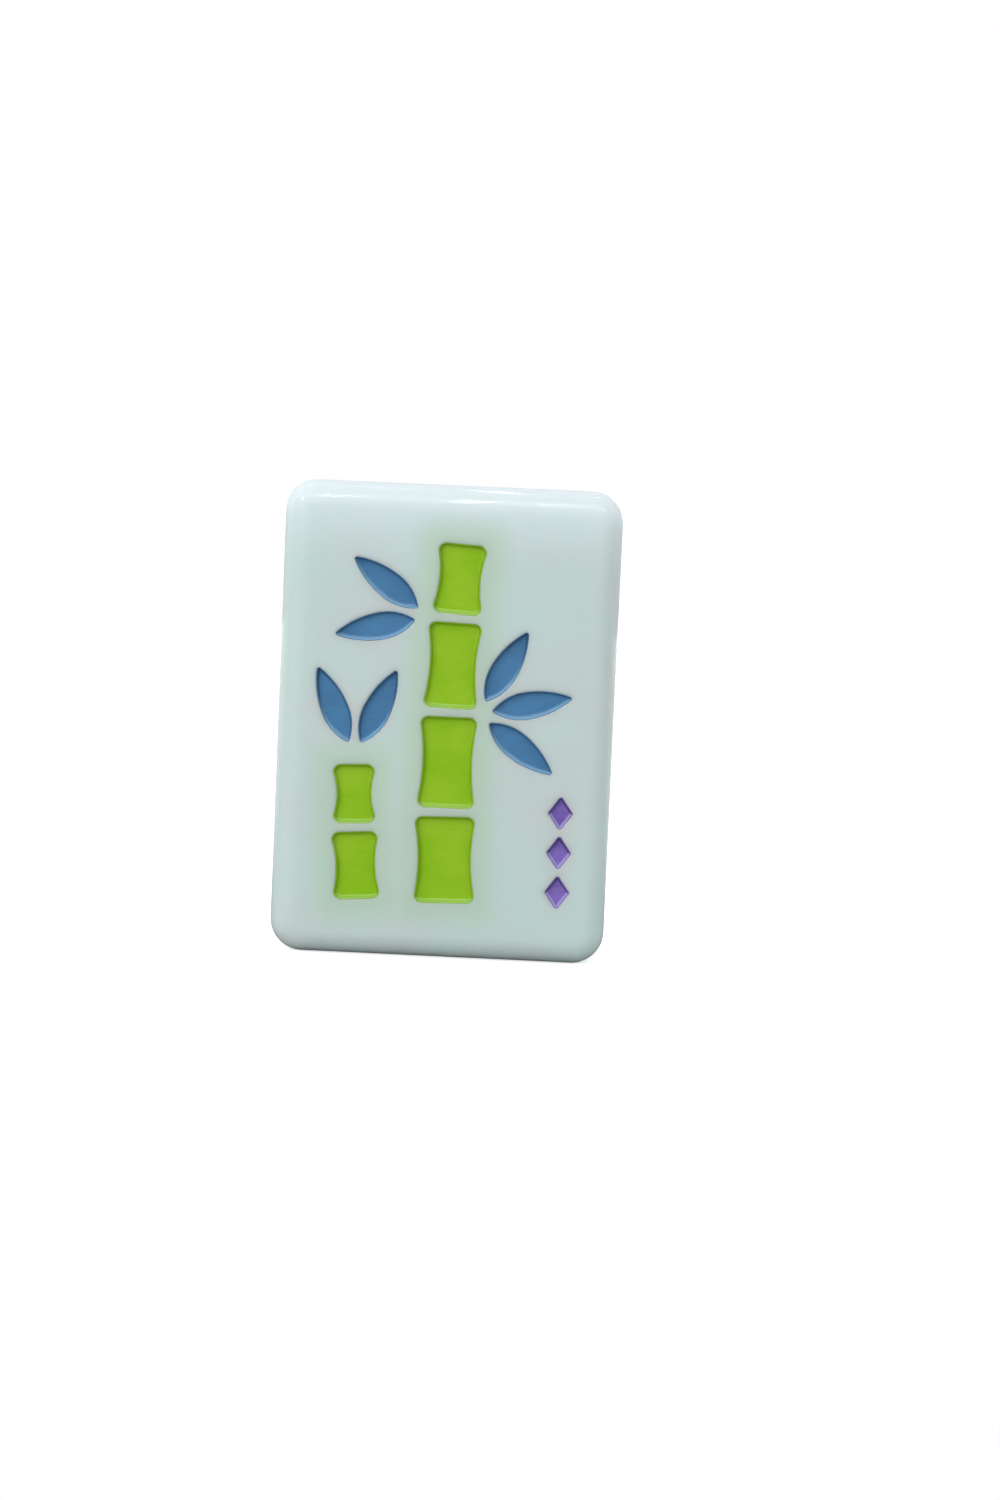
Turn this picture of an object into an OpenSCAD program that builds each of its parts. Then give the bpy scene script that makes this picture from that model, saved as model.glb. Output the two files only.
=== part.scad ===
// Mahjong tile: a one-piece moulded block, engraved on its front and lined with enamel.
// It stands on its bottom edge with the engraved face towards -Y, in millimetres.

/* [Tile] */
// Width across the face
tile_w = 22; // [21:0.5:26]
// Height as the tile stands
tile_h = 31; // [30:0.5:36]
// Thickness from the face to the back
tile_t = 14; // [11:0.5:18]
// Radius of the four corners, seen from the front
corner_r = 2.1; // [1.9:0.1:3]
// Rounding where the front and the back meet the walls
edge_r = 1.7; // [0.8:0.1:1.8]

/* [Engraving] */
// Depth of the recesses below the face
recess_depth = 0.6; // [0.4:0.05:1]
// Radius at the two ends of a leaf
tip_r = 0.16; // [0.14:0.02:0.3]
// Radius at the corners of a cane segment
segment_r = 0.5; // [0.3:0.05:0.8]
// Radius at the corners of a pip
pip_r = 0.16; // [0.14:0.02:0.4]

/* [Enamel] */
// Thickness of the enamel on the floor of a recess
floor_coat = 0.12; // [0.06:0.01:0.2]
// Thickness of the enamel on the walls of a recess
wall_coat = 0.06; // [0.03:0.01:0.1]
// How far the enamel's rim stays below the face
rim_drop = 0.1; // [0.05:0.01:0.2]

/* [Canes] */
// Length of a full cane segment
segment_l = 5.7; // [5:0.1:6]
// Width of the tall cane's lowest segment
cane_w = 3.9; // [3.2:0.1:4.4]
// Width of the short cane's lowest segment
shoot_w = 3; // [2.4:0.1:3.4]
// Depth of the hollow in each side of a segment
waist = 0.22; // [0.1:0.02:0.4]
// Gap between two segments
node_gap = 0.55; // [0.4:0.05:0.8]

/* [Leaves] */
// Length of a leaf
leaf_l = 5.2; // [4.2:0.1:5.6]
// Width of a leaf at its widest
leaf_w = 1.8; // [1.4:0.1:2]
// Distance from the twig to the stem end of each leaf
stem_l = 1; // [0.8:0.1:1.2]
// Least gap between neighbouring leaves of a fan
leaf_gap = 0.4; // [0.3:0.05:0.5]

/* [Pips] */
// Width of a lozenge pip
pip_w = 1.6; // [1.2:0.1:2]
// Height of a lozenge pip
pip_h = 2.1; // [1.6:0.1:2.4]
// Distance between the centres of neighbouring pips
pip_pitch = 2.6; // [2.5:0.1:2.8]
// Distance from the tile's side to the centres of the pips
pip_inset = 3.2; // [2.9:0.1:4]

/* [Hidden] */
$fn = 240;
// How far each cut runs past the face
overrun = 1;
// How far the arc of a side stays inside the arcs at its ends, so that they cross cleanly
crease = 0.002;
face_y = -tile_t / 2;

// Where the canes stand, as shares of the tile's width from its middle
tall_place_share = 0.02;
short_place_share = -0.24;
// How far the feet of the canes lean, and how much more each segment does, in degrees
tall_lean = -1.5;
short_lean = -4;
bend = 1.6;
// Lengths and widths of the segments, from the foot up, as shares of the full ones
tall_length_shares = [1, 1.05, 0.98, 0.8];
tall_width_shares = [1, 0.94, 0.88, 0.8];
short_length_shares = [0.78, 0.68];
short_width_shares = [1, 0.9];
// Where a leaf is widest, as a share of its length
leaf_peak_share = 0.42;
// The fans beside the tall cane: the segments below each, the way its middle points in degrees,
// and its leaves
tall_fan_segment_counts = [2, 3];
tall_fan_angles = [12, 168];
tall_fan_leaf_counts = [3, 2];
// The fan on top of the short cane
short_fan_angle = 90;
short_fan_leaf_count = 2;
pip_count = 3;

tall_ls = segment_l * tall_length_shares;
tall_ws = cane_w * tall_width_shares;
short_ls = segment_l * short_length_shares;
short_ws = shoot_w * short_width_shares;
tall_h = sum([for (l = tall_ls) l + node_gap]) - node_gap;
// The tall cane is centred on the face, and the short one stands level with it
foot_z = (tile_h - tall_h) / 2;
tall_foot = [tall_place_share * tile_w, foot_z];
short_foot = [short_place_share * tile_w, foot_z];
leaf_peak = leaf_l * leaf_peak_share;
leaf_rise = leaf_w / 2 - tip_r;
// The centre, seen from the twig, and the radius of the arc that a leaf turns to its neighbour
flank = [stem_l + leaf_peak, leaf_reach(leaf_peak) - leaf_rise];
flank_r = leaf_reach(leaf_peak) + tip_r;
// The angle from one leaf of a fan to the next leaves the gap between those arcs
fan_step = 2 * (asin((flank_r + leaf_gap / 2) / norm(flank)) - atan2(flank[1], flank[0]));

// The twig and the angle of each leaf
leaves = concat(
    [
        for (i = indices(tall_fan_angles))
            each fan(twig(tall_fan_segment_counts[i], tall_fan_angles[i]), tall_fan_angles[i],
                tall_fan_leaf_counts[i]),
    ],
    fan(cane_joint(short_foot, short_ls, short_lean, len(short_ls)), short_fan_angle,
        short_fan_leaf_count)
);

function numbered(name, count) = [for (i = [1:count]) str(name, i)];
function indices(list) = [for (i = [0:len(list) - 1]) i];
function sum(list) = list * [for (x = list) 1];
function heading(lean) = [sin(lean), cos(lean)];
// Radius, at the middle of its round end, of the arcs that bound a part of a leaf l long
function leaf_reach(l) = ((l - tip_r) ^ 2 + leaf_rise ^ 2) / (2 * leaf_rise);

// The middle of a cane's foot end of segment i, with i counted from 0
function cane_joint(foot, ls, lean, i) =
    i == 0 ? foot
    : cane_joint(foot, ls, lean, i - 1)
        + (ls[i - 1] + node_gap) * heading(lean + (i - 1) * bend);

// The place beside the joint above i segments of the tall cane from which leaves grow, on the
// side to which they point
function twig(i, aim) =
    cane_joint(tall_foot, tall_ls, tall_lean, i) - node_gap / 2 * heading(tall_lean + (i - 1) * bend)
        + [sign(cos(aim)) * tall_ws[i - 1] / 2, 0];

// A fan of leaves around a place, as the twig and the angle of each, with its middle towards aim
function fan(place, aim, count) =
    [for (i = [0:count - 1]) [place, aim + (i - (count - 1) / 2) * fan_step]];

module rounded_rectangle(a, b, r) {
    square([a - 2 * r, b], center = true);
    square([a, b - 2 * r], center = true);
    for (x = [-1, 1], y = [-1, 1])
        translate([x * (a / 2 - r), y * (b / 2 - r)]) circle(r);
}

// A convex polygon, points counter-clockwise, grown by r with round corners
module grown_polygon(points, r) {
    n = len(points);
    edges = [for (i = [0:n - 1]) points[(i + 1) % n] - points[i]];
    normals = [for (e = edges) [e[1], -e[0]] / norm(e)];
    polygon([
        for (i = [0:n - 1])
            each [points[i] + r * normals[i], points[(i + 1) % n] + r * normals[i]],
    ]);
    for (p = points) translate(p) circle(r);
}

// One cane segment from its foot at the origin up along +Y: round corners, hollow sides.
// Its outline is drawn in by inset all round.
module segment_outline(l, w, inset) {
    corner = [w / 2 - segment_r, l / 2 - segment_r];
    reach = (corner[1] ^ 2 + waist ^ 2) / (2 * waist);
    side = [corner[0] + reach - waist, 0];
    r = segment_r - inset;
    touch = corner + r * (side - corner) / reach;
    translate([0, l / 2]) difference() {
        union() {
            square([2 * touch[0], 2 * touch[1]], center = true);
            square([2 * corner[0], 2 * (corner[1] + r)], center = true);
            for (x = [-1, 1], y = [-1, 1])
                translate([x * corner[0], y * corner[1]]) circle(r);
        }
        for (x = [-1, 1])
            translate([x * side[0], 0]) circle(reach - r + crease);
    }
}

// One leaf from its stem end at the origin along +X, bounded by two arcs on each side.
// Its outline is drawn in by inset all round.
module leaf_outline(inset) {
    translate([leaf_peak, 0]) {
        half_leaf(leaf_l - leaf_peak, inset);
        mirror([1, 0]) half_leaf(leaf_peak, inset);
    }
}

// The part of a leaf from its widest place to a round end l away along +X
module half_leaf(l, inset) {
    reach = leaf_reach(l);
    end_x = l - tip_r;
    r = tip_r - inset;
    touch_x = end_x * (reach + r) / reach;
    intersection() {
        for_both_sides(reach - leaf_rise) circle(reach + r - crease);
        translate([0, -leaf_w]) square([touch_x, 2 * leaf_w]);
    }
    translate([end_x, 0]) circle(r);
}

// The lens that the child makes when it is moved down and up by y
module for_both_sides(y) {
    intersection() {
        translate([0, -y]) children();
        translate([0, y]) children();
    }
}

module pip_outline(inset) {
    half_w = pip_w / 2 - pip_r;
    half_h = pip_h / 2 - pip_r;
    grown_polygon([[half_w, 0], [0, half_h], [-half_w, 0], [0, -half_h]], pip_r - inset);
}

// Places of the motifs on the face, for an outline given as the child
module at_segment(foot, ls, lean, i) {
    translate(cane_joint(foot, ls, lean, i)) rotate(-lean - i * bend) children();
}

module at_leaf(i) {
    translate(leaves[i][0]) rotate(leaves[i][1]) translate([stem_l, 0]) children();
}

module at_pip(i) {
    translate([tile_w / 2 - pip_inset, foot_z + pip_h / 2 + i * pip_pitch]) children();
}

// Extrudes an outline drawn on the face from depth back to depth front below it
module sunk(back, front) {
    translate([0, face_y + back, 0]) rotate([90, 0, 0]) linear_extrude(back - front) children();
}

module tall_segment(i, inset) {
    at_segment(tall_foot, tall_ls, tall_lean, i) segment_outline(tall_ls[i], tall_ws[i], inset);
}

module short_segment(i, inset) {
    at_segment(short_foot, short_ls, short_lean, i) segment_outline(short_ls[i], short_ws[i], inset);
}

// The block: two prisms crossing at right angles, and a turned piece in each corner
module blank() {
    translate([0, 0, tile_h / 2]) {
        rotate([0, 90, 0]) linear_extrude(tile_w - 2 * corner_r, center = true)
            rounded_rectangle(tile_h, tile_t, edge_r);
        linear_extrude(tile_h - 2 * corner_r, center = true)
            rounded_rectangle(tile_w, tile_t, edge_r);
        for (x = [-1, 1], z = [-1, 1])
            translate([x * (tile_w / 2 - corner_r), 0, z * (tile_h / 2 - corner_r)])
                rotate([90, 0, 0]) rotate_extrude() corner_profile();
    }
}

// Half of the section through a corner, from its axis out to the rounded wall
module corner_profile() {
    translate([0, -tile_t / 2]) square([corner_r - edge_r, tile_t]);
    translate([0, edge_r - tile_t / 2]) square([corner_r, tile_t - 2 * edge_r]);
    for (y = [-1, 1])
        translate([corner_r - edge_r, y * (tile_t / 2 - edge_r)])
            intersection() {
                circle(edge_r);
                translate([0, -edge_r]) square([edge_r, 2 * edge_r]);
            }
}

// One enamel coat: it lines the floor and the walls of its recess and stays open in front
module coat() {
    difference() {
        sunk(recess_depth, rim_drop) children(0);
        sunk(recess_depth - floor_coat, -overrun) children(1);
    }
}

module tile_body() {
    color("#dcebe8")
    difference() {
        blank();
        for (i = indices(tall_ls)) sunk(recess_depth, -overrun) tall_segment(i, 0);
        for (i = indices(short_ls)) sunk(recess_depth, -overrun) short_segment(i, 0);
        for (i = indices(leaves)) sunk(recess_depth, -overrun) at_leaf(i) leaf_outline(0);
        for (i = [0:pip_count - 1]) sunk(recess_depth, -overrun) at_pip(i) pip_outline(0);
    }
}

module cane_enamel(i) {
    color("#8cb92d") coat() {
        tall_segment(i, 0);
        tall_segment(i, wall_coat);
    }
}

module shoot_enamel(i) {
    color("#8cb92d") coat() {
        short_segment(i, 0);
        short_segment(i, wall_coat);
    }
}

module leaf_enamel(i) {
    color("#4b80a9") coat() {
        at_leaf(i) leaf_outline(0);
        at_leaf(i) leaf_outline(wall_coat);
    }
}

module pip_enamel(i) {
    color("#8470b9") coat() {
        at_pip(i) pip_outline(0);
        at_pip(i) pip_outline(wall_coat);
    }
}

tile_body();
for (i = indices(tall_ls))
    cane_enamel(i);
for (i = indices(short_ls))
    shoot_enamel(i);
for (i = indices(leaves))
    leaf_enamel(i);
for (i = [0:pip_count - 1])
    pip_enamel(i);
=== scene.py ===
from math import asin, atan2, cos, degrees, hypot, pi, radians, sin

import bmesh
import bpy
from mathutils import Matrix, Vector


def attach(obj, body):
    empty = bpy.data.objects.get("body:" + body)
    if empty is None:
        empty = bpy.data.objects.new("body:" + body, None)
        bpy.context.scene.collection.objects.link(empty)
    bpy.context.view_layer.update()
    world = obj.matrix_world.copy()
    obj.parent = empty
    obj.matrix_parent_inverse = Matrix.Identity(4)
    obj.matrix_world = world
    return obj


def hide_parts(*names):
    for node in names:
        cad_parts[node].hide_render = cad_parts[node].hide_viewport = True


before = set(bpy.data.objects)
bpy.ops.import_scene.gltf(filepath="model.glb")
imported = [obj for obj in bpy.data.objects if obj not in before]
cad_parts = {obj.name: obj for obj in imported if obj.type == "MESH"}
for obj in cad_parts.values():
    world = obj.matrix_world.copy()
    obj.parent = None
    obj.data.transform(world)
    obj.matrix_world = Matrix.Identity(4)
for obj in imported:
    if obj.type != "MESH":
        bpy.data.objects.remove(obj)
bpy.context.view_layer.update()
mm = 0.001

# The block, as it stands on its bottom edge with the face towards -Y
tile = {
    "width": 22 * mm,
    "height": 31 * mm,
    "thickness": 14 * mm,
    "cornerRadius": 2.1 * mm,  # the four corners, seen from the front
    "edgeRadius": 1.7 * mm,  # where the face and the back meet the walls
    "support": 0.15 * mm,  # narrow flat ring that keeps the shading of a flat flat
    "cornerSteps": 24,
    "edgeSteps": 18,
}
faceY = -tile["thickness"] / 2

# Distances below which two places count as one
closeness = {
    "outline": 0.0001 * mm,  # two points of an outline, or the ends of an edge
    "mesh": 0.0005 * mm,  # two points of a swept mesh
    "face": 0.001 * mm,  # a point and the plane of the face
}


# One place on an outline: where it is, which way the inside lies, and how far in the middle is
def outlinePoint(x, y, nx, ny, reach=1):
    return {"at": Vector((x, y)), "inward": Vector((nx, ny)), "reach": reach}


# An outline's point turned over one axis, over both or over none
def flipped(p, fx, fy):
    return outlinePoint(p["at"].x * fx, p["at"].y * fy, p["inward"].x * fx, p["inward"].y * fy, p["reach"])


# An arc, with angles in radians. It bulges outwards, or inwards where hollow is set.
def arcPoints(centre, radius, start, end, steps, hollow=False, reach=1):
    turn = -1 if hollow else 1
    points = []
    for i in range(steps + 1):
        a = start + (end - start) * i / steps
        points.append(outlinePoint(centre[0] + radius * cos(a), centre[1] + radius * sin(a),
                                   -turn * cos(a), -turn * sin(a), reach))
    return points


# Drops a point that repeats the one before it, where two stretches meet
def joined(*stretches):
    points = [p for stretch in stretches for p in stretch]
    return [p for i, p in enumerate(points)
            if (p["at"] - points[i - 1]["at"]).length > closeness["outline"]]


# Three quarters of an outline follow from the first one
def fourQuarters(quarter):
    def turned(fx, fy):
        points = [flipped(p, fx, fy) for p in quarter]
        return points if fx * fy > 0 else points[::-1]
    return joined(turned(1, 1), turned(-1, 1), turned(-1, -1), turned(1, -1))


def placed(points, x, z, angle):
    turn = Matrix.Rotation(radians(angle), 2)
    return [{"at": turn @ p["at"] + Vector((x, z)), "inward": turn @ p["inward"], "reach": p["reach"]}
            for p in points]


def heading(lean):
    return Vector((sin(radians(lean)), cos(radians(lean))))


def shellOutline():
    r, support = tile["cornerRadius"], tile["support"]
    centre = (tile["width"] / 2 - r, tile["height"] / 2 - r)
    quarter = ([outlinePoint(tile["width"] / 2, centre[1] - support, -1, 0)]
               + arcPoints(centre, r, 0, pi / 2, tile["cornerSteps"])
               + [outlinePoint(centre[0] - support, tile["height"] / 2, 0, -1)])
    return placed(fourQuarters(quarter), 0, tile["height"] / 2, 0)


# Two bamboo canes of one segment above another, each a little bent against the one below
canes = {
    "segmentLength": 5.7 * mm,
    "tallWidth": 3.9 * mm,
    "shortWidth": 3 * mm,
    "waist": 0.22 * mm,
    "cornerRadius": 0.5 * mm,
    "gap": 0.55 * mm,
    "bend": 1.6,  # degrees from one segment to the next
    "support": 0.1 * mm,
    "sideSteps": 10,
    "cornerSteps": 10,
    "tall": {"place": 0.02, "lean": -1.5, "lengths": (1, 1.05, 0.98, 0.8), "widths": (1, 0.94, 0.88, 0.8)},
    "short": {"place": -0.24, "lean": -4, "lengths": (0.78, 0.68), "widths": (1, 0.9)},
}


# A cane segment about its middle: hollow sides, round corners, straight ends
def segmentOutline(length, width):
    r, waist = canes["cornerRadius"], canes["waist"]
    corner = (width / 2 - r, length / 2 - r)
    reach = (corner[1] ** 2 + waist ** 2) / (2 * waist)
    side = (corner[0] + reach - waist, 0)
    touch = atan2(side[1] - corner[1], side[0] - corner[0])
    quarter = (arcPoints(side, reach - r, pi, pi + touch, canes["sideSteps"], hollow=True)
               + arcPoints(corner, r, touch, pi / 2, canes["cornerSteps"])
               + [outlinePoint(corner[0] - canes["support"], length / 2, 0, -1)])
    return fourQuarters(quarter)


# The foot, the lean, the length and the width of each segment of a cane, and the joint above it
def caneSegments(cane, width):
    at = Vector((cane["place"] * tile["width"], footHeight))
    segments = []
    for i, (lengthShare, widthShare) in enumerate(zip(cane["lengths"], cane["widths"])):
        lean = cane["lean"] + i * canes["bend"]
        length = canes["segmentLength"] * lengthShare
        segments.append({"foot": at, "lean": lean, "length": length, "width": width * widthShare,
                         "joint": at + (length + canes["gap"]) * heading(lean)})
        at = segments[-1]["joint"]
    return segments


tallLengths = canes["tall"]["lengths"]
tallHeight = sum(tallLengths) * canes["segmentLength"] + (len(tallLengths) - 1) * canes["gap"]
footHeight = (tile["height"] - tallHeight) / 2
tallCane = caneSegments(canes["tall"], canes["tallWidth"])
shortCane = caneSegments(canes["short"], canes["shortWidth"])


# A recess: the node that lines it, the slot of its enamel, its outline, and the box on the face
# round which the plastic gets a painted tint of its enamel, painted light and shade. A box is its
# centre, the way its length runs, half its width and half its length.
def recess(node, slot, outline, *box):
    return {"node": node, "slot": slot, "outline": outline, "box": box}


def caneRecesses(name, segments):
    recesses = []
    for i, s in enumerate(segments):
        up = heading(s["lean"])
        middle = s["foot"] + s["length"] / 2 * up
        outline = placed(segmentOutline(s["length"], s["width"]), middle.x, middle.y, -s["lean"])
        recesses.append(recess(f"{name}_enamel_{i + 1}", "green_enamel", outline,
                               middle, up, s["width"] / 2, s["length"] / 2))
    return recesses


# Pointed leaves in three fans
leaf = {
    "length": 5.2 * mm,
    "width": 1.8 * mm,
    "peak": 0.42,  # where it is widest, as a share of its length
    "tipRadius": 0.16 * mm,
    "stem": 1 * mm,
    "gap": 0.4 * mm,
    "sideSteps": 14,
    "tipSteps": 16,
    "boxShares": (0.25, 0.4),  # half the box, as shares of the leaf's width and length
}


def leafReach(length):
    rise = leaf["width"] / 2 - leaf["tipRadius"]
    return ((length - leaf["tipRadius"]) ** 2 + rise ** 2) / (2 * rise)


# A leaf from its stem end at the origin along +X: two arcs on each side and two round ends
def leafOutline():
    tip, rise = leaf["tipRadius"], leaf["width"] / 2 - leaf["tipRadius"]
    peak = leaf["length"] * leaf["peak"]

    def half(length):
        reach = leafReach(length)
        end = length - tip
        slope = atan2(reach - rise, end)
        lower = arcPoints((0, reach - rise), reach + tip, -pi / 2, -slope, leaf["sideSteps"])
        for p in lower:
            p["reach"] = abs(p["at"].y) / abs(p["inward"].y)
        nose = arcPoints((end, 0), tip, -slope, slope, leaf["tipSteps"], reach=tip)
        return lower + nose + [flipped(p, 1, -1) for p in lower[::-1]]

    points = joined(half(leaf["length"] - peak), [flipped(p, -1, -1) for p in half(peak)])
    for p in points:
        p["at"].x += peak
    return points


# Where leaves leave the tall cane, beside the joint above a segment
def twig(segment, side):
    s = tallCane[segment]
    return s["joint"] - canes["gap"] / 2 * heading(s["lean"]) + Vector((side * s["width"] / 2, 0))


# The angle between neighbours of a fan, in degrees, at which the gap between them is as set
def fanStep():
    rise = leaf["width"] / 2 - leaf["tipRadius"]
    peak = leaf["length"] * leaf["peak"]
    flank = (leaf["stem"] + peak, leafReach(peak) - rise)
    radius = leafReach(peak) + leaf["tipRadius"]
    return degrees(2 * (asin((radius + leaf["gap"] / 2) / hypot(*flank)) - atan2(flank[1], flank[0])))


fans = (  # aim is the fan's middle, in degrees from +X towards +Z
    {"hub": twig(segment=1, side=1), "aim": 12, "leaves": 3},
    {"hub": twig(segment=2, side=-1), "aim": 168, "leaves": 2},
    {"hub": shortCane[-1]["joint"], "aim": 90, "leaves": 2},
)


def leafRecesses():
    recesses = []
    acrossShare, alongShare = leaf["boxShares"]
    for fan in fans:
        for i in range(fan["leaves"]):
            angle = fan["aim"] + (i - (fan["leaves"] - 1) / 2) * fanStep()
            along = Vector((cos(radians(angle)), sin(radians(angle))))
            stem = fan["hub"] + leaf["stem"] * along
            outline = placed(leafOutline(), stem.x, stem.y, angle)
            recesses.append(recess(f"leaf_enamel_{len(recesses) + 1}", "blue_enamel", outline,
                                   stem + leaf["length"] / 2 * along, along,
                                   leaf["width"] * acrossShare, leaf["length"] * alongShare))
    return recesses


# A column of lozenge pips
pip = {
    "width": 1.6 * mm,
    "height": 2.1 * mm,
    "pitch": 2.6 * mm,
    "inset": 3.2 * mm,
    "cornerRadius": 0.16 * mm,
    "cornerSteps": 5,
    "sideSteps": 16,
    "count": 3,
    "boxShare": 0.25,  # half the box, as a share of the pip's width and height
}


# A lozenge with straight sides and round corners
def pipOutline():
    r, steps = pip["cornerRadius"], pip["cornerSteps"]
    right, top = pip["width"] / 2 - r, pip["height"] / 2 - r
    normal = atan2(right, top)
    lower = arcPoints((right, 0), r, 0, normal, steps, reach=r)
    upper = arcPoints((0, top), r, normal, pi / 2, steps, reach=r)
    side = []
    for i in range(1, pip["sideSteps"]):
        at = lower[-1]["at"].lerp(upper[0]["at"], i / pip["sideSteps"])
        reach = min(at.x / cos(normal), at.y / sin(normal))
        side.append(outlinePoint(at.x, at.y, -cos(normal), -sin(normal), reach))
    return fourQuarters(lower + side + upper)


def pipRecesses():
    recesses = []
    x = tile["width"] / 2 - pip["inset"]
    for i in range(pip["count"]):
        z = footHeight + pip["height"] / 2 + i * pip["pitch"]
        recesses.append(recess(f"pip_enamel_{i + 1}", "purple_enamel", placed(pipOutline(), x, z, 0),
                               Vector((x, z)), heading(0),
                               pip["width"] * pip["boxShare"], pip["height"] * pip["boxShare"]))
    return recesses


# The recesses and the enamel in them, as sections across a recess's wall
engraving = {
    "depth": 0.6 * mm,
    "lip": 0.08 * mm,  # polished rounding at the mouth
    "lipSteps": 6,
    "support": 0.05 * mm,
    "seat": 0.003 * mm,  # hair-thin gap behind the enamel, so that no two faces coincide
    "wallRing": 1.5,  # how deep a ring of the wall lies, as a multiple of the enamel's rimDrop
    "floorRing": 0.04 * mm,  # how far in the floor's outer ring lies
}
enamel = {
    "rimDrop": 0.1 * mm,  # how far the coat starts below the face
    "rimStart": -pi / 6,  # where the wall runs into the round of the rim
    "rimSteps": 5,
    "floorCoat": 0.12 * mm,
    "wallCoat": 0.03 * mm,
    "slope": 0.1 * mm,  # how far the wall leans in from the rim down to the fillet
    "fillet": 0.15 * mm,  # where the enamel pooled along the foot of the wall
    "filletRise": 0.2 * mm,
    "filletSteps": 8,
    "support": 0.02 * mm,
}


# Each section is a walk of (inset, depth) points
def arcSection(centre, radiusX, radiusY, start, end, steps):
    angles = [start + (end - start) * i / steps for i in range(steps + 1)]
    return [(centre[0] + radiusX * cos(a), centre[1] + radiusY * sin(a)) for a in angles]


def shellSection():
    r, t, s = tile["edgeRadius"], tile["thickness"], tile["support"]
    front = arcSection((r, r), r, r, -pi / 2, -pi, tile["edgeSteps"])
    back = arcSection((r, t - r), r, r, pi, pi / 2, tile["edgeSteps"])
    return [(r + s, 0)] + front + [(0, r + s), (0, t - r - s)] + back + [(r + s, t)]


def recessSection():
    lip, deep = engraving["lip"], engraving["depth"]
    mouth = arcSection((-lip, lip), lip, lip, -pi / 2, 0, engraving["lipSteps"])
    wall = [(0, enamel["rimDrop"] * engraving["wallRing"]), (0, deep), (engraving["floorRing"], deep)]
    return [(-lip - engraving["support"], 0)] + mouth + wall


# How deep the coat's surface lies, at a distance in from the recess's outline
def coatDepth(inset):
    e = enamel
    foot, floor = e["wallCoat"] + e["slope"], engraving["depth"] - e["floorCoat"]
    if inset < foot:
        wall = (inset - e["wallCoat"]) / e["slope"]
        return e["rimDrop"] + wall * (floor - e["filletRise"] - e["rimDrop"])
    away = max(0, foot + e["fillet"] - inset) / e["fillet"]
    return floor - e["filletRise"] + e["filletRise"] * (1 - away ** 2) ** 0.5


# The coat is closed: along its pooled floor, up the wall, over the rim and down behind
def coatSection():
    e, seat, deep = enamel, engraving["seat"], engraving["depth"]
    foot, floor = e["wallCoat"] + e["slope"], deep - e["floorCoat"]
    pool = arcSection((foot + e["fillet"], floor - e["filletRise"]), e["fillet"], e["filletRise"],
                      pi / 2, pi, e["filletSteps"])
    rim = arcSection((e["wallCoat"], e["rimDrop"] + e["wallCoat"]), e["wallCoat"] - seat, e["wallCoat"],
                     e["rimStart"], -pi, e["rimSteps"])
    inner = [(foot + e["fillet"] + e["support"], floor)] + pool
    return inner + rim + [(seat, deep - seat), (engraving["floorRing"], deep - seat)]


# Wraps a socket, so that a sum or a product of sockets adds the Math nodes that it needs
class Wire:
    def __init__(self, tree, socket=None):
        self.tree = tree
        self.socket = socket

    # Sets a node's inputs by name or number, each to a value or from a wire
    def feed(self, node, inputs):
        for key, value in dict(inputs).items():
            if isinstance(value, Wire):
                self.tree.links.new(value.socket, node.inputs[key])
            else:
                node.inputs[key].default_value = value
        return node

    # Adds a node of a kind. Its settings come before its inputs.
    def node(self, kind, settings=(), inputs=()):
        made = self.tree.nodes.new(kind)
        for key, value in dict(settings).items():
            setattr(made, key, value)
        return self.feed(made, inputs)

    def out(self, node, key=0):
        return Wire(self.tree, node.outputs[key])

    def math(self, operation, *values):
        return self.out(self.node("ShaderNodeMath", {"operation": operation}, enumerate(values)))

    def __add__(self, other):
        return self.math("ADD", self, other)

    def __radd__(self, other):
        return self.math("ADD", other, self)

    def __sub__(self, other):
        return self.math("SUBTRACT", self, other)

    def __rsub__(self, other):
        return self.math("SUBTRACT", other, self)

    def __mul__(self, other):
        return self.math("MULTIPLY", self, other)

    def __rmul__(self, other):
        return self.math("MULTIPLY", other, self)


def vectorMath(w, operation, inputs):
    made = w.node("ShaderNodeVectorMath", {"operation": operation}, inputs)
    return w.out(made, "Value" if operation == "DOT_PRODUCT" else "Vector")


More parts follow.
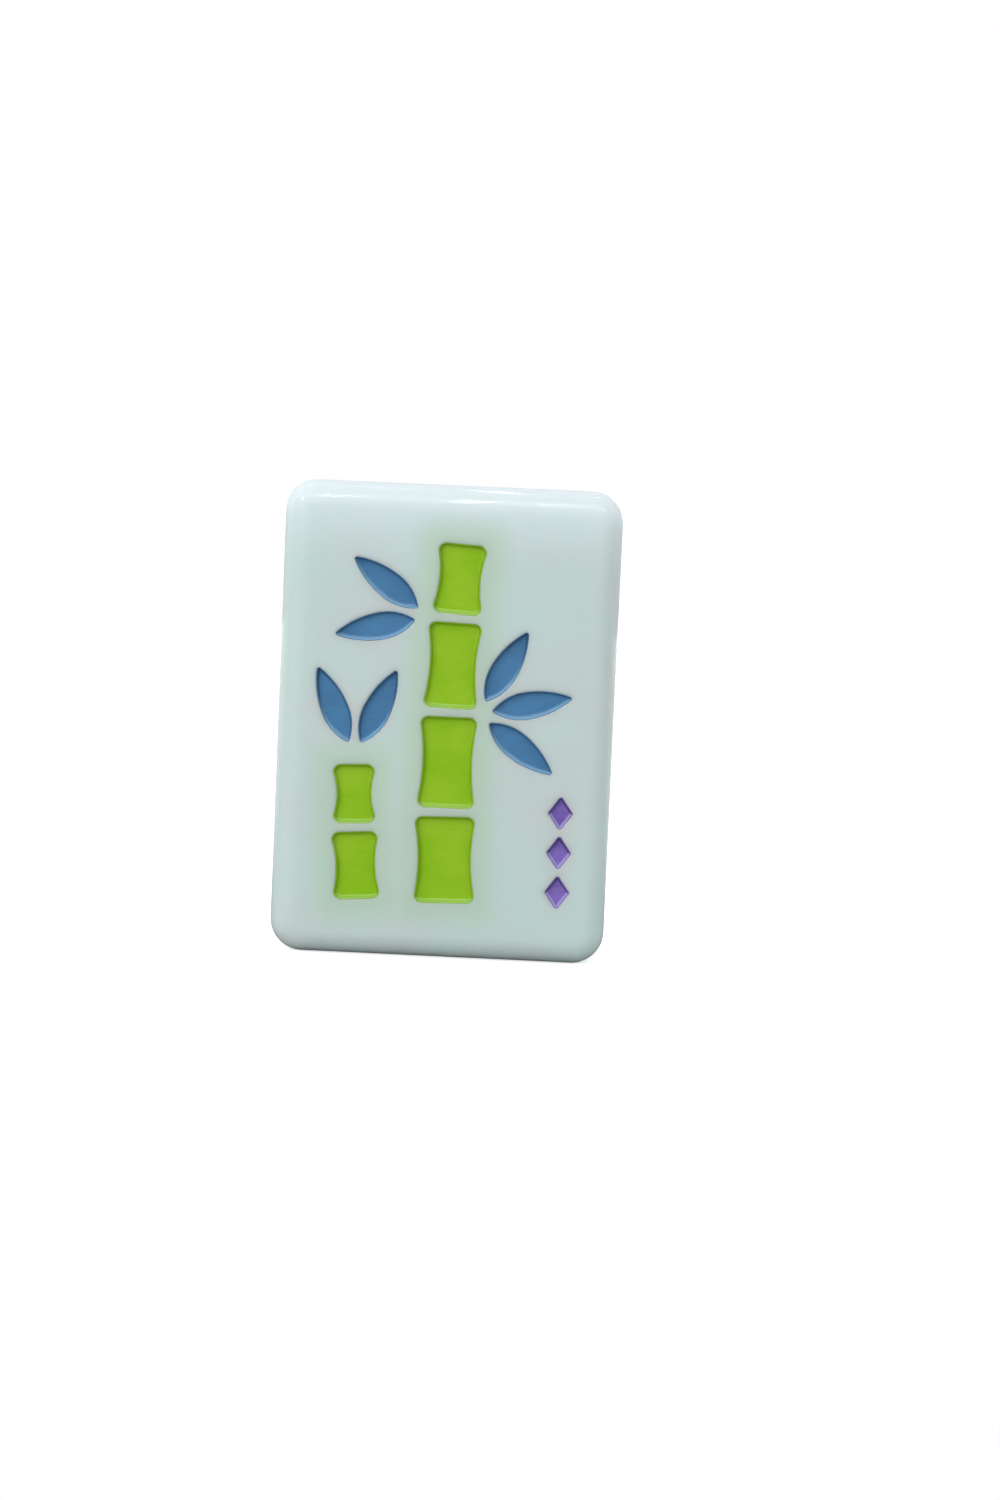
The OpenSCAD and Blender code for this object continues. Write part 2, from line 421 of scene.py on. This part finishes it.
# A Geometry Nodes tree that walks outlines inwards and down, one ring for each point of a section
def sweptRings():
    tree = bpy.data.node_groups.new("sweptRings", "GeometryNodeTree")
    sockets = (("Outlines", "Geometry"), ("Section", "Object"), ("Rings", "Int"), ("Finish", "Material"))
    for name, kind in sockets:
        tree.interface.new_socket(name, in_out="INPUT", socket_type="NodeSocket" + kind)
    tree.interface.new_socket("Surface", in_out="OUTPUT", socket_type="NodeSocketGeometry")
    w = Wire(tree)
    given = w.node("NodeGroupInput")
    section = w.node("GeometryNodeObjectInfo", {"transform_space": "ORIGINAL"},
                     {"Object": w.out(given, "Section")})

    def named(name, kind):
        return w.out(w.node("GeometryNodeInputNamedAttribute", {"data_type": kind}, {"Name": name}))

    def marked(geometry, value):
        return w.out(w.node("GeometryNodeStoreNamedAttribute", {"data_type": "BOOLEAN", "domain": "EDGE"},
                            {"Geometry": geometry, "Name": "edgeOfWork", "Value": value}))

    # The ring's place: in by the section's x and down by its y. Past the middle of a narrow end it
    # stays there, at the valley's depth, so that both sides meet in one line.
    def ringAt(geometry, index, selection=()):
        at = w.node("GeometryNodeSampleIndex", {"data_type": "FLOAT_VECTOR", "domain": "POINT"},
                    {"Geometry": w.out(section, "Geometry"), "Index": index,
                     "Value": w.out(w.node("GeometryNodeInputPosition"))})
        parts = w.node("ShaderNodeSeparateXYZ", (), {0: w.out(at)})
        inset, depth, reach = w.out(parts, "X"), w.out(parts, "Y"), named("reach", "FLOAT")
        held = w.math("MINIMUM", inset, reach)
        down = depth + w.math("GREATER_THAN", inset, reach) * (named("valley", "FLOAT") - depth)
        inward = vectorMath(w, "SCALE", {0: named("inward", "FLOAT_VECTOR"), "Scale": held})
        drop = w.out(w.node("ShaderNodeCombineXYZ", (), {"Y": down}))
        moved = vectorMath(w, "ADD", {0: inward, 1: drop})
        place = vectorMath(w, "ADD", {0: named("start", "FLOAT_VECTOR"), 1: moved})
        return w.out(w.node("GeometryNodeSetPosition", (),
                            {"Geometry": geometry, "Position": place, **dict(selection)}))

    begin = w.node("GeometryNodeRepeatInput")
    end = w.node("GeometryNodeRepeatOutput")
    begin.pair_with_output(end)
    w.feed(begin, {"Iterations": w.out(given, "Rings") - 1,
                   "Geometry": marked(ringAt(w.out(given, "Outlines"), 0), True)})
    grown = w.node("GeometryNodeExtrudeMesh", {"mode": "EDGES"},
                   {"Mesh": w.out(begin, "Geometry"), "Selection": named("edgeOfWork", "BOOLEAN"),
                    "Offset Scale": 0.0})
    top = w.out(grown, "Top")
    ring = ringAt(w.out(grown, "Mesh"), w.out(begin, "Iteration") + 1, {"Selection": top})
    w.feed(end, {"Geometry": marked(ring, top)})
    smooth = w.node("GeometryNodeSetShadeSmooth", (),
                    {"Geometry": w.out(end, "Geometry"), "Shade Smooth": True})
    real = w.node("GeometryNodeRealizeInstances", (), {"Geometry": w.out(smooth)})
    done = w.node("GeometryNodeSetMaterial", (),
                  {"Geometry": w.out(real), "Material": w.out(given, "Finish")})
    w.node("NodeGroupOutput", (), {"Surface": w.out(done)})
    return tree


ringTree = sweptRings()


def lineObject(name, points, edges):
    mesh = bpy.data.meshes.new(name)
    mesh.from_pydata(points, edges, [])
    obj = bpy.data.objects.new(name, mesh)
    bpy.context.scene.collection.objects.link(obj)
    return obj


# Sweeps a section along closed outlines on the face, and returns plain mesh data
def sweep(name, outlines, section, finish):
    points, edges = [], []
    for outline in outlines:
        first = len(points)
        points += outline
        edges += [(first + i, first + (i + 1) % len(outline)) for i in range(len(outline))]
    starts = [(p["at"].x, faceY, p["at"].y) for p in points]
    obj = lineObject(name, starts, edges)
    fields = (
        ("start", "FLOAT_VECTOR", "vector", [c for start in starts for c in start]),
        ("inward", "FLOAT_VECTOR", "vector", [c for p in points for c in (p["inward"].x, 0, p["inward"].y)]),
        ("reach", "FLOAT", "value", [p["reach"] for p in points]),
        ("valley", "FLOAT", "value", [coatDepth(p["reach"]) for p in points]))
    for key, kind, field, values in fields:
        obj.data.attributes.new(key, kind, "POINT").data.foreach_set(field, values)
    path = lineObject(name + "Section", [(inset, depth, 0) for inset, depth in section], [])
    modifier = obj.modifiers.new("rings", "NODES")
    modifier.node_group = ringTree
    keys = {item.name: item.identifier for item in ringTree.interface.items_tree}
    for key, value in (("Section", path), ("Rings", len(section)), ("Finish", finish)):
        modifier[keys[key]] = value
    ready = obj.evaluated_get(bpy.context.evaluated_depsgraph_get())
    mesh = bpy.data.meshes.new_from_object(ready)
    for spent in (obj, path):
        old = spent.data
        bpy.data.objects.remove(spent)
        bpy.data.meshes.remove(old)
    for attribute in [key for key, *_ in fields] + ["edgeOfWork"]:
        mesh.attributes.remove(mesh.attributes[attribute])
    return mesh


# Closes the open rings of a swept surface with flat floors, and points its faces outwards
def closed(bm):
    bmesh.ops.remove_doubles(bm, verts=bm.verts, dist=closeness["mesh"])
    bmesh.ops.dissolve_degenerate(bm, edges=bm.edges, dist=closeness["outline"])
    rims = [e for e in bm.edges if e.is_boundary]
    bmesh.ops.holes_fill(bm, edges=rims, sides=0)
    bmesh.ops.triangulate(bm, faces=[f for f in bm.faces if len(f.verts) > 4])
    bmesh.ops.recalc_face_normals(bm, faces=bm.faces)


def piece(name, mesh, node):
    for polygon in mesh.polygons:
        polygon.use_smooth = True
    obj = bpy.data.objects.new(name, mesh)
    bpy.context.scene.collection.objects.link(obj)
    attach(obj, "root")
    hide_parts(node)


# The block: the outer shell, the recesses, and the flat of the face that joins their rims
def makeBlock(recesses, finish):
    bm = bmesh.new()
    for part, outlines, section in (("shell", [shellOutline()], shellSection()),
                                    ("recesses", [r["outline"] for r in recesses], recessSection())):
        mesh = sweep(part, outlines, section, finish)
        bm.from_mesh(mesh)
        bpy.data.meshes.remove(mesh)
    bmesh.ops.remove_doubles(bm, verts=bm.verts, dist=closeness["mesh"])
    rims = [e for e in bm.edges if e.is_boundary]
    mouths = [e for e in rims if all(abs(v.co.y - faceY) < closeness["face"] for v in e.verts)]
    bmesh.ops.triangle_fill(bm, use_beauty=True, edges=mouths, normal=(0, -1, 0))
    closed(bm)
    mesh = bpy.data.meshes.new("tileBlock")
    bm.to_mesh(mesh)
    bm.free()
    mesh.materials.clear()
    mesh.materials.append(finish)
    piece("tileBlock", mesh, "tile_body")


# The coat of cane_enamel_1 is caneCoat1, and so on
def makeCoat(lined, finish):
    mesh = sweep(lined["node"], [lined["outline"]], coatSection(), finish)
    bm = bmesh.new()
    bm.from_mesh(mesh)
    closed(bm)
    bm.to_mesh(mesh)
    bm.free()
    piece(lined["node"].replace("_enamel_", "Coat"), mesh, lined["node"])


def finishOf(name):
    material = bpy.data.materials.new(name)
    material.use_nodes = True
    return Wire(material.node_tree), material, material.node_tree.nodes["Principled BSDF"]


def objectPlace(w):
    return w.out(w.node("ShaderNodeTexCoord"), "Object")


# One coordinate of a place or a direction
def axisOf(w, vector, axis):
    return w.out(w.node("ShaderNodeSeparateXYZ", (), {0: vector}), axis)


def noise(w, at, size, detail=2.0, roughness=0.5):
    return w.out(w.node("ShaderNodeTexNoise", (), {"Vector": at, "Scale": 1 / size, "Detail": detail,
                                                   "Roughness": roughness}), 0)


# Inputs 6 and 7 of a Mix node are its two colours, and output 2 is their mix
def mixColour(w, factor, first, second):
    def rgba(colour):
        return colour if isinstance(colour, Wire) else (*colour, 1)
    made = w.node("ShaderNodeMix", {"data_type": "RGBA", "clamp_factor": True},
                  {"Factor": factor, 6: rgba(first), 7: rgba(second)})
    return w.out(made, 2)


# 0 at one value and 1 at the other, smooth between them
def between(w, value, low, high):
    return w.out(w.node("ShaderNodeMapRange", {"interpolation_type": "SMOOTHSTEP"},
                        {"Value": value, "From Min": low, "From Max": high}))


# A roughness that a pattern spreads about its middle value
def unevenRoughness(pattern, looks):
    return pattern * looks["roughnessSpread"] + (looks["roughness"] - looks["roughnessSpread"] / 2)


# 1 at the boxes on the face, and 0 further away from them than the reach
def nearBoxes(w, at, boxes, reach):
    nearest = None
    for centre, up, halfWidth, halfLength in boxes:
        offset = vectorMath(w, "SUBTRACT", {0: at, 1: (centre.x, faceY, centre.y)})
        beyond = []
        for axis, half in (((up.y, 0, -up.x), halfWidth), ((up.x, 0, up.y), halfLength)):
            along = vectorMath(w, "DOT_PRODUCT", {0: offset, 1: axis})
            beyond.append(w.math("MAXIMUM", w.math("ABSOLUTE", along) - half, 0.0))
        distance = w.math("SQRT", beyond[0] * beyond[0] + beyond[1] * beyond[1])
        nearest = distance if nearest is None else w.math("MINIMUM", nearest, distance)
    depth = axisOf(w, at, "Y") - faceY
    return between(w, nearest, reach, 0.0) * between(w, depth, 2 * reach, 0.0)


# Milky plastic that light goes into. Beside each recess its colour is painted with a tint of the enamel,
# darker beside the green: painted light and shade, in place of light that passes through the enamel and the
# plastic.
milky = {
    "pale": (0.622, 0.75, 0.73),
    "deep": (0.637, 0.722, 0.715),
    "bright": (0.755, 0.845, 0.86),  # painted light: paler near the upper end, in place of light that enters there
    "paintedLightFrom": 25 * mm,
    "cloudSize": 7 * mm,
    "cloudRange": (0.35, 0.65),  # the noise's values that are all deep and all pale
    "scatterRadius": (1.0, 1.1, 1.1),  # in millimetres, for red, green and blue
    "ior": 1.49,
    "roughness": 0.035,
    "roughnessSpread": 0.02,
    "scuffSize": 0.2 * mm,
    "rippleSize": 1.6 * mm,
    "rippleDepth": 0.001 * mm,
    "paintedGlowShare": 0.55,
    "paintedGlows": (  # painted light and shade: the tint painted beside each enamel, and how far out
        ("green_enamel", (0.50, 0.70, 0.50), 2.3 * mm),
        ("blue_enamel", (0.60, 0.76, 0.80), 0.6 * mm),
        ("purple_enamel", (0.65, 0.72, 0.80), 0.5 * mm),
    ),
}


def milkyPlastic(recesses):
    w, material, shader = finishOf("milkyMintPlastic")
    at = objectPlace(w)
    cloud = between(w, noise(w, at, milky["cloudSize"], detail=3.0), *milky["cloudRange"])
    colour = mixColour(w, cloud, milky["deep"], milky["pale"])
    # Painted light: the plastic's colour turns paler towards its upper end
    paintedTopLight = between(w, axisOf(w, at, "Z"), milky["paintedLightFrom"], tile["height"])
    colour = mixColour(w, paintedTopLight, colour, milky["bright"])
    # Painted light and shade: the plastic is tinted towards each enamel beside its recesses
    for slot, paintedTint, reach in milky["paintedGlows"]:
        boxes = [r["box"] for r in recesses if r["slot"] == slot]
        colour = mixColour(w, nearBoxes(w, at, boxes, reach) * milky["paintedGlowShare"], colour, paintedTint)
    ripple = noise(w, at, milky["rippleSize"], detail=1.0)
    bump = w.out(w.node("ShaderNodeBump", (), {"Distance": milky["rippleDepth"], "Height": ripple}))
    w.feed(shader, {
        "Base Color": colour, "Roughness": unevenRoughness(noise(w, at, milky["scuffSize"]), milky),
        "Normal": bump, "IOR": milky["ior"], "Subsurface Weight": 1.0,
        "Subsurface Radius": milky["scatterRadius"], "Subsurface Scale": mm})
    return material


# Gloss enamels. The brush left faint streaks in them. The walls of a recess are painted: those that
# face down with a painted shade, and those that face up with a painted light, in place of what
# comes through the plastic.
paints = {
    "green_enamel": {"name": "limeEnamel", "pale": (0.345, 0.60, 0.022), "deep": (0.27, 0.56, 0.006),
                     "paintedShade": (0.23, 0.46, 0.010), "lit": (0.36, 0.63, 0.09)},
    "blue_enamel": {"name": "steelBlueEnamel", "pale": (0.082, 0.248, 0.47), "deep": (0.065, 0.202, 0.395),
                    "paintedShade": (0.046, 0.125, 0.23), "lit": (0.27, 0.54, 0.76)},
    "purple_enamel": {"name": "purpleEnamel", "pale": (0.275, 0.19, 0.60), "deep": (0.18, 0.118, 0.44),
                      "paintedShade": (0.07, 0.045, 0.20), "lit": (0.55, 0.48, 0.86)},
}
brushing = {
    "cloudSize": 2.4 * mm,
    "cloudRange": (0.35, 0.65),
    "cloudShare": 0.55,
    "streakSize": 0.7 * mm,
    "streakStretch": 3.0,
    "streakRange": (0.3, 0.7),
    "wallRange": (0.85, 0.35),  # how squarely a place faces front, where wall begins and is complete
    "paintedLightRange": (0.1, 0.6),  # how far up it faces, where the painted shade is complete and where the painted light is
    "roughness": 0.1,
    "roughnessSpread": 0.06,
    "depth": 0.008 * mm,
    "ior": 1.55,
    "specularLevel": 1.0,
}


def enamelFinish(paint):
    w, material, shader = finishOf(paint["name"])
    at = objectPlace(w)
    stretch = (1, 1, brushing["streakStretch"])
    stretched = w.out(w.node("ShaderNodeMapping", (), {"Vector": at, "Scale": stretch}))
    streaks = noise(w, stretched, brushing["streakSize"], detail=4.0, roughness=0.55)
    cloud = between(w, noise(w, at, brushing["cloudSize"], detail=1.0), *brushing["cloudRange"])
    streak = between(w, streaks, *brushing["streakRange"])
    share = brushing["cloudShare"]
    colour = mixColour(w, cloud * share + streak * (1 - share), paint["deep"], paint["pale"])
    facing = w.out(w.node("ShaderNodeTexCoord"), "Normal")
    front = vectorMath(w, "DOT_PRODUCT", {0: facing, 1: (0, -1, 0)})
    # Painted shade on walls that face down, painted light on walls that face up
    lit = between(w, axisOf(w, facing, "Z"), *brushing["paintedLightRange"])
    wall = mixColour(w, lit, paint["paintedShade"], paint["lit"])
    colour = mixColour(w, between(w, front, *brushing["wallRange"]), colour, wall)
    bump = w.out(w.node("ShaderNodeBump", (), {"Distance": brushing["depth"], "Height": streaks}))
    w.feed(shader, {
        "Base Color": colour, "Roughness": unevenRoughness(streaks, brushing), "Normal": bump,
        "IOR": brushing["ior"], "Specular IOR Level": brushing["specularLevel"]})
    return material


# 1 where the camera looks, straight or through something clear
def seenRays(w, path):
    return w.math("MAXIMUM", w.out(path, "Is Camera Ray"), w.out(path, "Is Transmission Ray"))


# The floor is pale to the camera and keeps the tile's shadow. The tile's gloss sees it dark in
# front of the tile and pale behind it, and it throws back less light than it seems to.
floorLooks = {
    "size": 8.0,
    "seen": 0.8,
    "lift": 0.6,  # what the camera sees of it on top of its lit colour
    "bounce": 0.45,
    "mirrored": 0.07,
    "mirroredBehind": 0.8,
    "behindRange": (0.0, 60 * mm),  # from where to where along Y it turns pale
    "roughness": 0.9,
}


def makeFloor():
    bpy.ops.mesh.primitive_plane_add(size=floorLooks["size"])
    floor = bpy.context.object
    floor.name = "floor"
    w, material, shader = finishOf("whiteFloor")
    path = w.node("ShaderNodeLightPath")

    def grey(name):
        return (floorLooks[name],) * 3

    seen = seenRays(w, path)
    colour = mixColour(w, seen, grey("bounce"), grey("seen"))
    behind = between(w, axisOf(w, objectPlace(w), "Y"), *floorLooks["behindRange"])
    mirrored = mixColour(w, behind, grey("mirrored"), grey("mirroredBehind"))
    w.feed(shader, {
        "Base Color": mixColour(w, w.out(path, "Is Glossy Ray"), colour, mirrored),
        "Roughness": floorLooks["roughness"], "Specular IOR Level": 0.0,
        "Emission Color": mixColour(w, seen, (0, 0, 0), grey("lift")), "Emission Strength": 1.0})
    floor.data.materials.append(material)


# A pale room. The camera sees it white, and the tile's gloss sees it dark in front of the tile and
# pale behind and above it, with a little blue.
room = {
    "strength": 0.95,
    "ceilingLoss": 0.35,  # how much dimmer it lights from straight above
    "mirroredFront": 0.07,
    "mirroredBack": 0.82,
    "mirroredTurn": (-0.9, 0.2),  # from which direction to which along Y, between front and back
    "mirroredCeiling": 0.3,  # what the ceiling adds to them
    "mirroredRise": (0.2, 0.7),  # from which direction to which along Z
    "mirroredTint": (0.97, 0.96, 1.11),
}


def makeRoom():
    world = bpy.data.worlds.new("softWorld")
    world.use_nodes = True
    bpy.context.scene.world = world
    w = Wire(world.node_tree)
    path = w.node("ShaderNodeLightPath")
    direction = w.out(w.node("ShaderNodeTexCoord"), "Generated")
    up = axisOf(w, direction, "Z")
    lit = room["strength"] - between(w, up, 0.0, 1.0) * room["ceilingLoss"]
    front, back = room["mirroredTurn"]
    mirrored = w.out(w.node("ShaderNodeMapRange", (), {
        "Value": axisOf(w, direction, "Y"), "From Min": front, "From Max": back,
        "To Min": room["mirroredFront"], "To Max": room["mirroredBack"]}))
    mirrored = mirrored + between(w, up, *room["mirroredRise"]) * room["mirroredCeiling"]
    glossy = w.out(path, "Is Glossy Ray")
    strength = lit + glossy * (mirrored - lit)
    strength = strength + seenRays(w, path) * (1 - strength)
    tint = mixColour(w, glossy, (1, 1, 1), room["mirroredTint"])
    w.feed(world.node_tree.nodes["Background"], {"Color": tint, "Strength": strength})


# A soft key light, two fills for the back and the sides, and lamps that only show as highlights:
# two rows whose mirror images run along the polished upper edge, and a long dim strip that draws
# the line between the bright ones
lamps = {
    "keyAt": (-0.16, -0.36, 0.19),
    "keySize": 0.36,
    "keyRadiance": 2.0,
    "fillAt": ((-0.26, 0.32, 0.105), (0.26, 0.32, 0.105)),
    "fillSize": (0.4, 0.2),
    "fillRadiance": 2.3,
    "stripHeight": 48,  # degrees above the front horizon
    "stripDistance": 0.52,
    "stripWidth": 0.6,
    "stripLength": 0.2,
    "stripRadiance": 1.0,
    "rowDistance": 0.5,
    "rowLength": 0.12,
    "rows": (  # the height in degrees; then from where to where, and the radiance
        (48, ((-0.0535, -0.0523, 9.0), (-0.0502, -0.0490, 9.0), (-0.0465, -0.0435, 12.0),
              (-0.0185, -0.0105, 7.5), (0.0015, 0.0031, 9.0), (0.0054, 0.0062, 8.0),
              (0.0090, 0.0097, 7.0), (0.0116, 0.0123, 7.0), (-0.11, -0.10, 10.0),
              (-0.50, -0.45, 10.0), (0.29, 0.34, 6.0))),
        (106, ((-0.0465, -0.0435, 14.0), (-0.0125, -0.0045, 6.0), (-0.18, -0.16, 10.0),
               (0.10, 0.12, 10.0))),
    ),
}
upperEdge = Vector((0, faceY, tile["height"]))


# An area light that is turned to the tile's upper edge
def areaLight(name, at, width, length, radiance):
    data = bpy.data.lights.new(name, "AREA")
    data.shape = "RECTANGLE"
    data.size, data.size_y = width, length
    data.energy = radiance * pi * width * length
    obj = bpy.data.objects.new(name, data)
    bpy.context.scene.collection.objects.link(obj)
    obj.location = at
    obj.rotation_euler = (upperEdge - Vector(at)).to_track_quat("-Z", "Y").to_euler()
    return obj


# The gloss doesn't show these, because their sharp edges would stand out in it
def softLight(name, at, width, length, radiance):
    light = areaLight(name, at, width, length, radiance)
    light.visible_glossy = False


def highlightLamp(name, height, distance, x, width, length, radiance):
    away = Vector((0, -cos(radians(height)), sin(radians(height)))) * distance
    lamp = areaLight(name, upperEdge + away + Vector((x, 0, 0)), width, length, radiance)
    lamp.visible_diffuse = False


def makeLamps():
    softLight("keyLight", lamps["keyAt"], lamps["keySize"], lamps["keySize"], lamps["keyRadiance"])
    for i, at in enumerate(lamps["fillAt"]):
        softLight(f"fillLight{i}", at, *lamps["fillSize"], lamps["fillRadiance"])
    spots = [(height, *spot) for height, row in lamps["rows"] for spot in row]
    for i, (height, start, end, radiance) in enumerate(spots):
        highlightLamp(f"lamp{i}", height, lamps["rowDistance"], (start + end) / 2, end - start,
                      lamps["rowLength"], radiance)
    highlightLamp(f"lamp{len(spots)}", lamps["stripHeight"], lamps["stripDistance"], 0,
                  lamps["stripWidth"], lamps["stripLength"], lamps["stripRadiance"])


# The camera, where the photograph's was. Its frame is 1000 x 1500 pixels.
view = {
    "distance": 190 * mm,
    "yaw": 1.08,
    "pitch": 5.13,
    "roll": 2.565,
    "pixelsPerMm": 15.376,  # at the face
    "frameWidth": 1000,
    "frameHeight": 1500,
    "tileCentreX": 444.5,
    "tileCentreY": 724.3,
    "sensorHeight": 36,
}


def makeCamera():
    middle = Vector((0, faceY, tile["height"] / 2))
    yaw, pitch, roll = radians(view["yaw"]), radians(view["pitch"]), radians(view["roll"])
    away = Vector((sin(yaw) * cos(pitch), -cos(yaw) * cos(pitch), sin(pitch)))
    turn = (-away).to_track_quat("-Z", "Y").to_matrix() @ Matrix.Rotation(roll, 3, "Z")
    aimX = (view["frameWidth"] / 2 - view["tileCentreX"]) / view["pixelsPerMm"] * mm
    aimY = (view["tileCentreY"] - view["frameHeight"] / 2) / view["pixelsPerMm"] * mm
    data = bpy.data.cameras.new("camera")
    data.sensor_fit = "VERTICAL"
    data.sensor_height = view["sensorHeight"]
    data.lens = data.sensor_height * view["distance"] / (view["frameHeight"] / view["pixelsPerMm"] * mm)
    camera = bpy.data.objects.new("camera", data)
    bpy.context.scene.collection.objects.link(camera)
    place = middle + away * view["distance"] + turn @ Vector((aimX, aimY, 0))
    camera.matrix_world = Matrix.Translation(place) @ turn.to_4x4()
    bpy.context.scene.camera = camera


motifs = caneRecesses("cane", tallCane) + caneRecesses("shoot", shortCane) + leafRecesses() + pipRecesses()
print("outlines of", len(motifs), "motifs are laid out")
makeBlock(motifs, milkyPlastic(motifs))
print("the block is engraved")
finishes = {slot: enamelFinish(paint) for slot, paint in paints.items()}
for motif in motifs:
    makeCoat(motif, finishes[motif["slot"]])
print("the enamel is laid")
makeFloor()
makeRoom()
makeLamps()
makeCamera()
print("studio and camera are set")
bpy.context.scene.view_settings.view_transform = "Standard"
